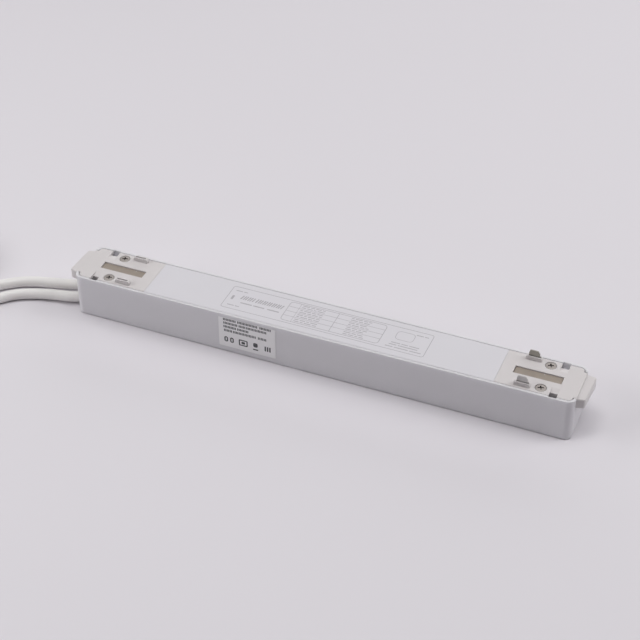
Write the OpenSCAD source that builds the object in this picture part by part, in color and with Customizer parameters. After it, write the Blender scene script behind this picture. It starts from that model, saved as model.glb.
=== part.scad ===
// Lighting transformer for a lighting track: a slim driver lying on its back, covers up.
// X runs along the housing, Y across it and Z up, from the middle of its underside, in millimetres.

/* [Housing] */
// Length of the housing
body_l = 315; // [262:0.5:380]
// Width of the housing
body_w = 34; // [33:0.5:42]
// Height from the underside to the rim
body_h = 28.2; // [27.4:0.2:40]
// Thickness of the side and end walls
wall = 1.5; // [1.2:0.1:2]
// Thickness of the floor
floor_t = 1.6; // [1.2:0.1:2]
// Radius of the upright corners
corner_r = 4.8; // [4:0.2:6]
// Radius of the edges round the underside
edge_r = 1.25; // [1:0.25:3]
// Diameter of the posts that the end plates are screwed to
post_d = 6.4; // [5.6:0.2:7.2]

/* [Cover plates] */
// Thickness of the three cover plates
plate_t = 1.8; // [1.5:0.05:2.4]
// Depth of the plates below the rim
plate_drop = 0.1; // [0:0.1:1]
// Gap between the middle cover and the rim along each side
side_gap = 0.4; // [0.1:0.05:0.5]
// Gap between an end plate and the rim along each side
end_side_gap = 0.5; // [0.1:0.05:0.5]
// Gap between an end plate and the end wall, beside its tongue
end_gap = 0.7; // [0.4:0.1:1]
// Length from the end of the housing to the seam of an end plate
end_plate_l = 47.3; // [44:0.1:57]
// Gap between plates at each seam
seam_gap = 0.1; // [0.1:0.05:0.6]
// Reach of the middle cover under each end plate
lap_l = 3; // [2:0.5:4]
// Width of the shelf that carries the plates
shelf_w = 1.1; // [0.8:0.1:1.4]

/* [Ledges] */
// Distance that a ledge stands out of the end wall
ledge_out = 4.8; // [3:0.1:7]
// Extra reach of a ledge at its far corner, seen from inside the right end
ledge_slant = 1; // [0:0.1:2]
// Height of a ledge and of the opening that it comes through
ledge_h = 7.1; // [5:0.1:8]
// Width of a ledge at the end wall
ledge_w = 23.6; // [20:0.2:24]
// Width of a ledge at its tip
ledge_tip_w = 21.6; // [16:0.2:22]
// Radius of a ledge's outer corners
ledge_r = 1.5; // [1:0.25:2.75]
// Step from the end plate's face down to its ledge
ledge_step = 0.6; // [0.1:0.1:0.8]
// Slope along the upper edge of a ledge
ledge_bevel = 0.6; // [0.2:0.1:1]
// Wall thickness of a ledge, which is hollow from below
ledge_wall = 1.6; // [1.2:0.1:2]

/* [Magnets] */
// Distance from the end of the housing to the magnet's slot
slot_from_end = 11.2; // [9:0.1:13]
// Length of the slot
slot_l = 28.5; // [24:0.1:29]
// Width of the slot
slot_w = 6.5; // [5:0.1:7.4]
// Thickness of a magnet
magnet_t = 2.5; // [1.5:0.1:3]
// Depth of a magnet's face below the end plate's face
magnet_drop = 0.7; // [0.4:0.1:1.4]
// Thickness of the pocket round a magnet
pocket_t = 1.2; // [1:0.1:1.4]

/* [Plate screws] */
// Distance from the end of the housing to a plate screw
screw_from_end = 21.1; // [20:0.1:24]
// Distance from the side of the housing to a plate screw
screw_from_side = 6.6; // [6.2:0.1:7]
// Diameter of a screw's head
screw_head_d = 6.2; // [5:0.02:7.5]
// Height of a screw's head
screw_head_h = 1.8; // [1.4:0.1:2]
// Distance that a screw's head stands above the end plate's face
screw_proud = 0.2; // [0:0.1:0.6]
// Diameter of a screw's shank
screw_d = 2.9; // [2.5:0.1:3.2]
// Length of a screw below its head
screw_l = 10; // [8:0.5:14]

/* [Contacts] */
// Distance from the end of the housing to the middle of a contact
contact_from_end = 31.6; // [30.6:0.1:33]
// Distance from the side of the housing to the middle of a contact
contact_from_side = 4.8; // [4.6:0.1:5]
// Width of a contact tab at its foot
contact_w = 6.4; // [5:0.1:7.6]
// Width of a contact tab at its top
contact_top_w = 4.6; // [3:0.1:4.8]
// Height of a contact tab above its block
contact_h = 3.8; // [2:0.1:5]
// Thickness of the contact metal
contact_t = 0.7; // [0.6:0.05:1]
// Length of a contact block
block_l = 9.4; // [9:0.1:11]
// Width of a contact block
block_w = 2.6; // [2.4:0.1:3]
// Height of a contact block above the end plate
block_h = 2.6; // [1.5:0.1:3.5]

/* [Clip notches] */
// Distance from the end of the housing to a clip notch
notch_from_end = 10.6; // [9:0.1:11]
// Length of a clip notch
notch_l = 4.8; // [4:0.1:5.6]
// Distance from the side of the housing to the inner edge of a notch
notch_from_side = 9.6; // [8:0.1:10.4]
// Length of the sloping side of a notch
notch_ramp_l = 4.1; // [3:0.1:5]
// Depth of the sloping side of a notch
notch_ramp_h = 0.8; // [0.3:0.1:0.9]

/* [Cables] */
// Diameter of each cable
cable_d = 6.6; // [5.5:0.02:8]
// Distance between the two cables where they leave the housing
cable_pitch = 12.8; // [12.6:0.1:13.4]
// Distance from the middle of the end wall to the middle of the pair of cables
cable_offset = 1.4; // [0:0.1:2]
// Diameter of a single wire with its insulation
wire_d = 2.2; // [1.6:0.1:2.4]

/* [Label] */
// Length of the label on the front side
label_l = 37; // [20:1:60]
// Height of the label
label_h = 21.4; // [10:0.2:21.6]
// Distance from the middle of the housing to the middle of the label
label_x = 41.4; // [30:0.2:60]
// Height of the label's middle
label_z = 15; // [13:0.2:16]
// Thickness of the label
label_t = 0.12; // [0.08:0.02:0.2]

/* [Circuit board] */
// Thickness of the board
board_t = 1.6; // [1:0.1:2]
// Height of the standoffs under the board
board_lift = 4; // [3:0.1:4.8]
// Gap between the board and each side wall
board_side_gap = 1.3; // [1:0.1:2]
// Distance from the end of the housing to the end of the board
board_from_end = 32.5; // [31:0.5:34]
// Diameter of a board screw's shank
board_screw_d = 2.4; // [2:0.1:2.8]

/* [Components] */
// Height of the heat spreader
spreader_h = 14; // [12:0.2:15.5]
// Length of the heat spreader
spreader_l = 74; // [60:1:90]
// Length of the main transformer's core
transformer_l = 34; // [28:1:36]
// Width of the main transformer's core
transformer_w = 18; // [16:0.5:18.5]
// Length of the boost coil's core
boost_l = 25; // [22:1:27]
// Diameter of the storage capacitor
storage_d = 15.6; // [12:0.2:16]
// Length of the storage capacitor
storage_l = 28; // [20:1:30]
// Outer diameter of the line choke's ring
choke_d = 17; // [15:0.5:18]

/* [Hidden] */
$fn = 48;
fit = 0.1;
gap = 0.15;
magnet_gap = 0.3;

plate_top = body_h - plate_drop;
plate_z = plate_top - plate_t;
seam_x = body_l / 2 - end_plate_l;
inner_l = body_l - 2 * wall;
inner_w = body_w - 2 * wall;
plate_w = inner_w - 2 * side_gap;
end_plate_w = inner_w - 2 * end_side_gap;
plate_end_x = body_l / 2 - wall - end_gap;
plate_corner_r = corner_r - wall - 0.9;

tongue_gap = 0.4;
ledge_z = body_h - ledge_h;

screw_x = body_l / 2 - screw_from_end;
screw_y = body_w / 2 - screw_from_side;
screw_seat_z = plate_top + screw_proud - screw_head_h;
counterbore_d = screw_head_d + 0.6;
pad_t = 1.8;
pad_d = min(screw_d + 4.7, 2 * (inner_w / 2 - shelf_w - gap - screw_y));
pad_z = plate_z - pad_t;

slot_x = body_l / 2 - slot_from_end - slot_l / 2;
magnet_z = plate_top - magnet_drop - magnet_t;

contact_x = body_l / 2 - contact_from_end;
contact_y = body_w / 2 - contact_from_side;
contact_foot_w = contact_w + 2.4;
contact_foot_h = 1.6;
contact_gap = 0.25;
contact_slot_more = 0.6;
contact_tail_w = 3;
contact_tail_h = 5;

notch_x = body_l / 2 - notch_from_end - notch_l / 2;
notch_y = body_w / 2 - notch_from_side;
notch_edge_y = notch_y + notch_ramp_l;
notch_rib_t = 1;
notch_rib_h = 2.6;
rim_recess = 0.7;
catch_out = 2.3;
catch_h = 1.2;
catch_z = plate_top - 4.6;

shelf_lip = 0.7;
shelf_h = 1.9;

mains_y = cable_pitch / 2 - cable_offset;
output_y = -cable_pitch / 2 - cable_offset;
cable_z = floor_t + cable_d / 2 + 0.2;
cable_face_x = body_l / 2;
clamp_l = 4.5;
clamp_x = body_l / 2 - corner_r - clamp_l / 2;
clamp_h = cable_d / 2 + 1.2;
clamp_w = inner_w - 2 * gap;
clamp_screw_y = [(mains_y + cable_d / 2 + inner_w / 2) / 2, (output_y - cable_d / 2 - inner_w / 2) / 2];
clamp_screw_d = 2;
clamp_gap = 0.2;
sheath_end_x = clamp_x - clamp_l / 2 - 1;

board_l = body_l - 2 * board_from_end;
board_w = inner_w - 2 * board_side_gap;
board_z = floor_t + board_lift;
board_top = board_z + board_t;
standoff_d = 4.8;
standoff_x = board_l / 2 - 5;
standoff_y = board_w / 2 - 3.2;

terminal_l = 10;
terminal_h = 10;
terminal_pitch = 4.7;
terminal_x = board_l / 2 - 17;
terminal_wire_z = board_top + 4.2;
wire_reach_y = screw_y - post_d / 2 - 0.4 - wire_d / 2;
mains_pass_y = wire_reach_y - wire_d - 0.1;
output_pass_y = -wire_reach_y + wire_d / 2 + 0.05;
mains_terminal_y = 4.8;
output_terminal_y = -8.2;

spreader_y = board_w / 2 - 2.6;
spreader_t = 2;
spreader_x = 12;
core_y = -3.8;
core_lift = 3.4;
switch_pitch = spreader_l / 4;

storage_x = 6;
boost_x = -24;
transformer_x = board_l / 2 - 74;

// Where each cable lies on the floor, from the housing to its coil
mains_route = [
    [-cable_face_x, mains_y, cable_z], [-cable_face_x - 2, mains_y, cable_z],
    [-162.5, 4.4, 5], [-167, 2.9, 4.8], [-173, 1.4, 4.5], [-179.5, 0, 4.1], [-187, -1.5, 3.7],
    [-195.5, -3.5, 3.4], [-203, -6.8, 3.4], [-208.2, -10.3, 3.4], [-213.2, -14.2, 3.4],
    [-219.6, -19.2, 3.7], [-226, -24.4, 4.6], [-232.4, -29.6, 6.4], [-235.4, -32.1, 7.6]
];
output_route = [
    [-cable_face_x, output_y, cable_z], [-cable_face_x - 2, output_y, cable_z],
    [-162.5, -8.9, 5], [-167, -10.2, 4.7], [-173.2, -11, 4.3], [-180.8, -12.4, 3.9],
    [-189, -14.7, 3.5], [-196.4, -17.9, 3.4], [-201.6, -21.3, 3.4], [-206.1, -25.8, 3.4],
    [-212, -31.2, 3.4], [-218.4, -36, 3.4], [-225.2, -40.2, 3.5], [-232.1, -43.1, 3.6],
    [-239.3, -45.4, 3.8], [-244.8, -46.9, 3.9]
];

// The rest of each cable is wound in two turns, one coil on the other
coil_place = [-274.5, -17.5];
coil_outer_r = 5.3 * cable_d;
coil_inner_r = coil_outer_r - cable_d;
tie_t = 0.7;
tie_w = 4;
tie_gap = 0.1;
output_coil_z = tie_t + tie_gap + cable_d / 2;
mains_coil_z = output_coil_z + cable_d;
output_entry = -80;
mains_entry = -60;
end_gap_angle = [-660, -618];
end_wire_angle = [-652, end_gap_angle[1]];
bare_angle = 12;
bare_d = 1.4;

white_side = [0.86, 0.87, 0.89];
white_cover = [0.87, 0.87, 0.89];
white_plate = [0.9, 0.89, 0.87];
cable_white = [0.88, 0.87, 0.85];
metal_grey = [0.68, 0.68, 0.67];
magnet_grey = [0.62, 0.6, 0.56];
board_green = [0.13, 0.38, 0.22];
ferrite = [0.2, 0.2, 0.21];
copper = [0.75, 0.45, 0.25];
tape_yellow = [0.9, 0.8, 0.3];

// Shared shapes

module rounded_rect(l, w, r) {
    square([l - 2 * r, w], center = true);
    square([l, w - 2 * r], center = true);
    for (sx = [-1, 1], sy = [-1, 1])
        translate([sx * (l / 2 - r), sy * (w / 2 - r)]) circle(r);
}

// A wall's outline with its two lower corners rounded
module tub_profile(w, h, r) {
    translate([-w / 2, r]) square([w, h - r]);
    translate([-w / 2 + r, 0]) square([w - 2 * r, h]);
    for (s = [-1, 1])
        translate([s * (w / 2 - r), r]) circle(r);
}

module block(l, w, h) {
    translate([-l / 2, -w / 2, 0]) cube([l, w, h]);
}

module along_x(l) {
    rotate([90, 0, 90]) linear_extrude(l, center = true) children();
}

module rod_x(d, l) {
    rotate([0, 90, 0]) cylinder(d = d, h = l);
}

// The children once at each end of the housing, the left one turned round
module both_ends() {
    children();
    rotate(180) children();
}

function arc(c, r, from, to, n = 8) =
    [for (i = [0:n]) let (a = from + (to - from) * i / n) c + r * [cos(a), sin(a)]];

function unit(v) = v / norm(v);
function heading(p, i) = unit(p[min(i + 1, len(p) - 1)] - p[max(i - 1, 0)]);
function ring(c, along, across, r, n) =
    let (side = unit(cross(along, across)), up = cross(side, along))
    [for (j = [0:n - 1]) c + r * (cos(360 * j / n) * side + sin(360 * j / n) * up)];

// A round tube swept along the points p, which never run along the direction across
module tube(p, d, n = 10, across = [0, 0, 1]) {
    last = len(p) - 1;
    rings = [for (i = [0:last]) each ring(p[i], heading(p, i), across, d / 2, n)];
    walls = [
        for (i = [0:last - 1], j = [0:n - 1])
        let (a = i * n + j, b = i * n + (j + 1) % n)
        each [[a, b, b + n], [a, b + n, a + n]]
    ];
    ends = [[for (j = [n - 1:-1:0]) j], [for (j = [0:n - 1]) last * n + j]];
    polyhedron(rings, concat(walls, ends));
}

module pan_screw(head_d, head_h, shank_d, shank_l) {
    rim_h = head_h * 0.78;
    dome_h = head_h - rim_h;
    dome_r = (pow(head_d / 2, 2) + pow(dome_h, 2)) / (2 * dome_h);
    recess_l = head_d * 0.56;
    recess_w = head_d * 0.13;
    difference() {
        intersection() {
            cylinder(d = head_d, h = head_h);
            translate([0, 0, head_h - dome_r]) sphere(dome_r, $fn = 96);
        }
        for (a = [0, 90])
            rotate(a) translate([0, 0, head_h * 0.4]) block(recess_l, recess_w, head_h);
    }
    translate([0, 0, -shank_l]) cylinder(d = shank_d, h = shank_l + head_h * 0.2);
}

// Housing: an open tray with moulded posts, standoffs, shelves and a cable saddle

module tray_outside() {
    intersection() {
        linear_extrude(body_h) rounded_rect(body_l, body_w, corner_r);
        along_x(body_l + 2) tub_profile(body_w, body_h, edge_r);
        rotate([90, 0, 0]) linear_extrude(body_w + 2, center = true)
            tub_profile(body_l, body_h, edge_r);
    }
}

module tray_inside() {
    translate([0, 0, floor_t])
        linear_extrude(body_h) rounded_rect(inner_l, inner_w, corner_r - wall);
}

// The shelves stop at the clip notches
module plate_shelves() {
    difference() {
        for (s = [0, 180])
            rotate(s) along_x(body_l - 2 * corner_r)
                polygon([
                    [inner_w / 2 - shelf_w, plate_z],
                    [inner_w / 2 + wall / 2, plate_z],
                    [inner_w / 2 + wall / 2, plate_z - shelf_h],
                    [inner_w / 2, plate_z - shelf_h],
                    [inner_w / 2 - shelf_w, plate_z - shelf_lip]
                ]);
        both_ends()
            translate([notch_x, 0, plate_z - 2 * shelf_h])
                block(notch_l + 1, inner_w, 3 * shelf_h);
    }
}

// A ledge on the side wall under each clip notch, which a clip can grip
module clip_catches() {
    both_ends() for (t = [0, 1])
        mirror([0, t, 0]) translate([notch_x, 0, 0]) along_x(notch_l - 0.8)
            polygon([
                [inner_w / 2 + wall / 2, catch_z], [inner_w / 2 - catch_out, catch_z],
                [inner_w / 2 - catch_out, catch_z - catch_h],
                [inner_w / 2, catch_z - catch_h - catch_out],
                [inner_w / 2 + wall / 2, catch_z - catch_h - catch_out]
            ]);
}

// The rim is thinner beside each clip notch
module rim_recesses() {
    both_ends() translate([notch_x, 0, catch_z])
        block(notch_l, inner_w + 2 * rim_recess, body_h);
}

module plate_posts() {
    both_ends() for (s = [-1, 1]) {
        translate([screw_x, s * screw_y, floor_t / 2])
            cylinder(d = post_d, h = pad_z - floor_t / 2);
        translate([screw_x, s * (screw_y + inner_w / 2 + wall / 2) / 2, floor_t / 2])
            block(1.4, inner_w / 2 + wall / 2 - screw_y, pad_z - floor_t / 2 - 1);
    }
}

module plate_post_bores() {
    both_ends() for (s = [-1, 1])
        translate([screw_x, s * screw_y, screw_seat_z - screw_l - 1])
            cylinder(d = screw_d + fit, h = screw_l + 1);
}

module standoff_places() {
    for (sx = [-1, 1], sy = [-1, 1])
        translate([sx * standoff_x, sy * standoff_y, 0]) children();
}

module middle_standoff_places() {
    for (sy = [-1, 1])
        translate([0, sy * standoff_y, 0]) children();
}

module board_standoffs() {
    translate([0, 0, floor_t / 2]) {
        standoff_places() cylinder(d = standoff_d, h = board_z - floor_t / 2);
        middle_standoff_places() cylinder(d = standoff_d, h = board_z - floor_t / 2);
    }
}

// Two half-round seats for the cables, with a pilot bore beside each
module cable_saddle() {
    translate([-clamp_x, 0, floor_t / 2])
        block(clamp_l, inner_w + wall, cable_z - clamp_gap / 2 - floor_t / 2);
}

module cable_channels(d, x, l) {
    for (y = [mains_y, output_y])
        translate([x - l / 2, y, cable_z]) rod_x(d, l);
}

module ledge_openings() {
    both_ends()
        translate([body_l / 2 - wall - 1, -ledge_w / 2 - tongue_gap, ledge_z])
            cube([wall + 2, ledge_w + 2 * tongue_gap, ledge_h + 1]);
}

module housing() {
    color(white_side)
    difference() {
        union() {
            difference() {
                tray_outside();
                tray_inside();
            }
            plate_shelves();
            plate_posts();
            board_standoffs();
            cable_saddle();
            clip_catches();
        }
        rim_recesses();
        ledge_openings();
        plate_post_bores();
        standoff_places()
            translate([0, 0, floor_t]) cylinder(d = board_screw_d + fit, h = board_lift + 1);
        cable_channels(cable_d + gap, -clamp_x, clamp_l + 2);
        cable_channels(cable_d + gap, -body_l / 2, 2 * wall + 2);
        for (y = clamp_screw_y)
            translate([-clamp_x, y, floor_t]) cylinder(d = clamp_screw_d + fit, h = cable_z);
    }
}

// Covers

module plate_outline() {
    rounded_rect(2 * plate_end_x, end_plate_w, plate_corner_r);
}

module cover_hook() {
    hook_y = inner_w / 2 - shelf_w - gap;
    along_x(6)
        polygon([
            [hook_y - 1.1, plate_z + 0.5], [hook_y, plate_z + 0.5],
            [hook_y, plate_z - shelf_lip - 0.5], [hook_y + 0.6, plate_z - shelf_lip - 1],
            [hook_y, plate_z - shelf_lip - 2.4], [hook_y - 1.1, plate_z - shelf_lip - 2.4]
        ]);
}

module top_cover() {
    cover_l = 2 * seam_x - seam_gap;
    rib_h = 1.2;
    hook_pitch = cover_l / 3;
    color(white_cover) {
        translate([0, 0, plate_z]) block(cover_l, plate_w, plate_t);
        translate([0, 0, plate_z])
            block(cover_l + 2 * lap_l, plate_w - 8, plate_t / 2 - gap);
        for (y = [-8, 0, 8])
            translate([0, y, plate_z - rib_h]) block(cover_l - 12, 1.2, rib_h + 0.4);
        for (i = [-1:1], s = [0, 180])
            translate([i * hook_pitch, 0, 0]) rotate(s) cover_hook();
    }
}

// Outline of a ledge from above, from the inside of the end wall to its tip
module ledge_outline(inset) {
    tip = ledge_tip_w / 2 - inset;
    out = body_l / 2 + ledge_out - inset;
    far = out + ledge_slant;
    r = max(ledge_r - inset, 0.4);
    polygon(concat(
        [[plate_end_x - 0.5 + inset, -ledge_w / 2 + inset], [body_l / 2, -ledge_w / 2 + inset]],
        arc([out - r, -tip + r], r, -84, 0),
        arc([far - r, tip - r], r, 0, 84),
        [[body_l / 2, ledge_w / 2 - inset], [plate_end_x - 0.5 + inset, ledge_w / 2 - inset]]
    ));
}

// Wedges that take off the three upper edges of a ledge
module ledge_bevels() {
    tip = ledge_tip_w / 2;
    out = body_l / 2 + ledge_out;
    corners = [
        [body_l / 2, -ledge_w / 2], [out, -tip], [out + ledge_slant, tip], [body_l / 2, ledge_w / 2]
    ];
    for (i = [0:2]) {
        edge = corners[i + 1] - corners[i];
        before = i == 0 ? 0 : 2;
        after = i == 2 ? 0 : 2;
        translate([corners[i][0], corners[i][1], plate_top - ledge_step])
            rotate(atan2(edge[1], edge[0])) rotate([45, 0, 0])
            translate([-before, -3, -ledge_bevel / sqrt(2)])
            cube([norm(edge) + before + after, 6, 3]);
    }
}

// Tongue and ledge are one hollow box, open below, with two cross ribs
module ledge() {
    bottom = ledge_z + 0.2;
    core_l = ledge_out + ledge_slant + 0.2;
    difference() {
        translate([0, 0, bottom]) linear_extrude(plate_top - bottom) ledge_outline(0);
        translate([body_l / 2, -body_w / 2, plate_top - ledge_step])
            cube([ledge_out + ledge_slant + 1, body_w, 1]);
        ledge_bevels();
        difference() {
            translate([0, 0, bottom - 1])
                linear_extrude(plate_top - ledge_step - ledge_wall - bottom + 1)
                    intersection() {
                        ledge_outline(ledge_wall);
                        translate([body_l / 2 - 0.2, -body_w / 2]) square([core_l, body_w]);
                    }
            for (s = [-1, 1])
                translate([body_l / 2, s * ledge_w / 6 - 0.6, bottom - 2])
                    cube([ledge_out + ledge_slant, 1.2, ledge_h]);
        }
    }
}

module contact_block() {
    slope = 0.5;
    rotate([90, 0, 0]) linear_extrude(block_w, center = true)
        polygon([
            [-block_l / 2, -0.5], [-block_l / 2, block_h - slope],
            [-block_l / 2 + slope, block_h], [block_l / 2 - 2 * slope, block_h],
            [block_l / 2, block_h - 2 * slope], [block_l / 2, -0.5]
        ]);
}

// A rib hangs from the plate at the foot of each notch's slope
module notch_ribs() {
    for (t = [0, 1])
        mirror([0, t, 0]) translate([notch_x, notch_edge_y - notch_rib_t / 2, plate_z - notch_rib_h])
            block(notch_l + 2, notch_rib_t, notch_rib_h + 0.2);
}

module magnet_pocket() {
    pocket_z = magnet_z - pocket_t;
    translate([slot_x, 0, pocket_z])
        block(slot_l + 2 * pocket_t, slot_w + 2 * pocket_t, plate_z - pocket_z + 0.2);
}

// One moulding with its ledge, contact blocks, magnet pocket and screw seats
module end_plate() {
    difference() {
        union() {
            translate([0, 0, plate_z]) linear_extrude(plate_t)
                intersection() {
                    plate_outline();
                    translate([seam_x + seam_gap / 2, -body_w / 2]) square([body_l, body_w]);
                }
            ledge();
            magnet_pocket();
            notch_ribs();
            for (s = [-1, 1]) {
                translate([contact_x, s * contact_y, plate_top]) contact_block();
                translate([screw_x, s * screw_y, pad_z]) cylinder(d = pad_d, h = pad_t + 0.2);
            }
        }
        translate([slot_x, 0, magnet_z]) block(slot_l, slot_w, plate_t + magnet_t + 1);
        translate([seam_x - 1, -(plate_w - 8) / 2 - gap, plate_z - 0.5])
            cube([lap_l + 1.5, plate_w - 8 + 2 * gap, plate_t / 2 + 0.5]);
        for (s = [-1, 1]) {
            translate([screw_x, s * screw_y, pad_z - 1])
                cylinder(d = screw_d + 0.5, h = pad_t + plate_t + 2);
            translate([screw_x, s * screw_y, screw_seat_z])
                cylinder(d = counterbore_d, h = screw_head_h + 1);
            translate([contact_x + contact_slot_more / 2, s * contact_y, plate_z - 1])
                block(contact_w + 2 * gap + contact_slot_more, contact_t + 2 * contact_gap,
                    plate_t + block_h + 2);
        }
        for (t = [0, 1])
            mirror([0, t, 0]) translate([notch_x, 0, 0]) along_x(notch_l)
                polygon([
                    [notch_y, plate_top], [notch_y, plate_top + 0.1], [body_w, plate_top + 0.1],
                    [body_w, plate_z - 0.1], [notch_edge_y, plate_z - 0.1],
                    [notch_edge_y, plate_top - notch_ramp_h]
                ]);
    }
}

module right_end_plate() {
    color(white_plate) end_plate();
}

module left_end_plate() {
    color(white_plate) rotate(180) end_plate();
}

module magnet() {
    translate([slot_x, 0, magnet_z])
        linear_extrude(magnet_t)
            rounded_rect(slot_l - 2 * magnet_gap, slot_w - 2 * magnet_gap, 0.4);
}

module right_magnet() {
    color(magnet_grey) magnet();
}

module left_magnet() {
    color(magnet_grey) rotate(180) magnet();
}

module plate_screws() {
    color(metal_grey)
    both_ends() for (s = [-1, 1])
        translate([screw_x, s * screw_y, screw_seat_z]) rotate(20)
            pan_screw(screw_head_d, screw_head_h, screw_d, screw_l);
}

// A flat blade: tab above, shoulders against the underside of the plate, solder tail below
module contact() {
    tab_top = plate_top + block_h + contact_h;
    foot_z = plate_z - contact_foot_h;
    chamfer = contact_w - contact_top_w;
    rotate([90, 0, 0]) linear_extrude(contact_t, center = true)
        difference() {
            polygon([
                [-contact_w / 2, plate_z], [-contact_w / 2, tab_top - chamfer],
                [-contact_w / 2 + chamfer * 0.35, tab_top],
                [contact_w / 2 - chamfer * 0.65, tab_top],
                [contact_w / 2, tab_top - chamfer], [contact_w / 2, plate_z],
                [contact_foot_w / 2, plate_z], [contact_foot_w / 2, foot_z],
                [contact_tail_w / 2, foot_z], [contact_tail_w / 2, foot_z - contact_tail_h],
                [-contact_tail_w / 2, foot_z - contact_tail_h], [-contact_tail_w / 2, foot_z],
                [-contact_foot_w / 2, foot_z], [-contact_foot_w / 2, plate_z]
            ]);
            translate([0, foot_z - contact_tail_h + 1.6]) circle(d = 1.2);
        }
}

module front_contact() {
    color(metal_grey) translate([contact_x, -contact_y, 0]) contact();
}

module rear_contact() {
    color(metal_grey) translate([contact_x, contact_y, 0]) contact();
}

// Two wires from the contacts' tails down to the board
module contact_leads() {
    tail_z = plate_z - contact_foot_h - contact_tail_h;
    lead_d = 1.8;
    lead_y = contact_y - contact_t / 2 - lead_d / 2 - 0.05;
    color("firebrick") for (s = [-1, 1])
        tube([
            [contact_x, s * lead_y, tail_z + 4], [contact_x, s * lead_y, tail_z + 1],
            [contact_x - 1, s * (lead_y - 0.6), tail_z - 2],
            [contact_x - 5, s * (lead_y - 2), (tail_z + board_top) / 2 + 1],
            [contact_x - 9, s * (lead_y - 3.2), board_top + 4],
            [contact_x - 10, s * (lead_y - 3.4), board_top + 1],
            [contact_x - 10, s * (lead_y - 3.4), board_top]
        ], lead_d, 8, [0, 1, 0]);
}

module side_label() {
    color("white")
        translate([-label_x, -body_w / 2, label_z]) rotate([90, 0, 0])
            linear_extrude(label_t) rounded_rect(label_l, label_h, 0.6);
}

// Cables, their clamp and their wires

module cable_clamp() {
    color([0.85, 0.85, 0.83]) difference() {
        translate([-clamp_x, 0, cable_z + clamp_gap / 2]) block(clamp_l, clamp_w, clamp_h);
        cable_channels(cable_d + gap, -clamp_x, clamp_l + 2);
        for (y = clamp_screw_y)
            translate([-clamp_x, y, cable_z - 1])
                cylinder(d = clamp_screw_d + 0.4, h = clamp_h + 2);
    }
}

module clamp_screws() {
    color(metal_grey) for (y = clamp_screw_y)
        translate([-clamp_x, y, cable_z + clamp_gap / 2 + clamp_h])
            pan_screw(3.4, 1.4, clamp_screw_d, clamp_h + 3);
}

module cable_inner(y) {
    color(cable_white) translate([-cable_face_x, y, cable_z])
        rod_x(cable_d, cable_face_x - sheath_end_x);
}

module mains_cable_inner() {
    cable_inner(mains_y);
}

module output_cable_inner() {
    cable_inner(output_y);
}

module mains_cable() {
    color(cable_white) tube(mains_route, cable_d);
}

module output_cable() {
    color(cable_white) tube(output_route, cable_d);
}

// Two turns lying flat, with a gap in the inner one for the stripped wires
module cable_coil(z, entry) {
    gap_l = end_gap_angle[1] - end_gap_angle[0];
    color(cable_white) translate([coil_place[0], coil_place[1], z]) difference() {
        rotate_extrude($fn = 96) translate([(coil_outer_r + coil_inner_r) / 2, 0])
            rounded_rect(2 * cable_d, cable_d, cable_d / 2 - 0.15);
        rotate(entry + end_gap_angle[0]) rotate_extrude(angle = gap_l, $fn = 96)
            translate([coil_inner_r - cable_d, -cable_d]) square([1.5 * cable_d, 2 * cable_d]);
    }
}

module mains_coil() {
    cable_coil(mains_coil_z, mains_entry);
}

module output_coil() {
    cable_coil(output_coil_z, output_entry);
}

// The n wires of a cable, from its cut sheath between the screw posts into the terminal block
module inner_wires(y, pass_y, terminal_y, n, hue) {
    reach = 5;
    spacing = wire_d + 0.1;
    block_x = -terminal_x - terminal_l / 2;
    color(hue) for (i = [0:n - 1]) {
        off = i - (n - 1) / 2;
        y0 = y + off * spacing * (n == 3 ? 0.85 : 1.3);
        z0 = cable_z + (n == 3 ? (abs(off) < 0.5 ? 1 : -1) : 0);
        y1 = terminal_y + off * terminal_pitch;
        tube([
            [-sheath_end_x, y0, z0], [-sheath_end_x + 0.6, y0, z0],
            [-screw_x - post_d / 2 - 1, pass_y + off * spacing, z0 + 1 + off * 1.6],
            [-screw_x + post_d / 2 + 1, pass_y + off * spacing, (z0 + terminal_wire_z) / 2 + off],
            [block_x - 8, (pass_y + off * spacing + y1) / 2, terminal_wire_z - 0.8],
            [block_x - 3, y1, terminal_wire_z], [block_x + reach, y1, terminal_wire_z]
        ], wire_d, 8);
    }
}

module mains_wires() {
    inner_wires(mains_y, mains_pass_y, mains_terminal_y, 3, "sienna");
}

module output_wires() {
    inner_wires(output_y, output_pass_y, output_terminal_y, 2, "firebrick");
}

// A piece of wire bent round with its coil
module bent_wire(r, z, from, to, d) {
    rotate(from) rotate_extrude(angle = to - from, $fn = 96) translate([r, z]) circle(d = d);
}

// The stripped wires at the far end of a cable, each with its bare end
module end_wires(z, entry, n, hue) {
    spacing = wire_d / 2 + 0.05;
    bare_from = end_wire_angle[0] + bare_angle;
    color(hue) translate([coil_place[0], coil_place[1], z]) for (i = [0:n - 1]) {
        off = i - (n - 1) / 2;
        r = coil_inner_r + 2 * off * spacing / (n - 1);
        dz = n == 3 ? (abs(off) < 0.5 ? 1.3 : -0.7) : 0;
        bent_wire(r, dz, entry + bare_from, entry + end_wire_angle[1], wire_d);
        bent_wire(r, dz, entry + end_wire_angle[0], entry + bare_from + 1, bare_d);
    }
}

module mains_end_wires() {
    end_wires(mains_coil_z, mains_entry, 3, "sienna");
}

module output_end_wires() {
    end_wires(output_coil_z, output_entry, 2, "firebrick");
}

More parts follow.
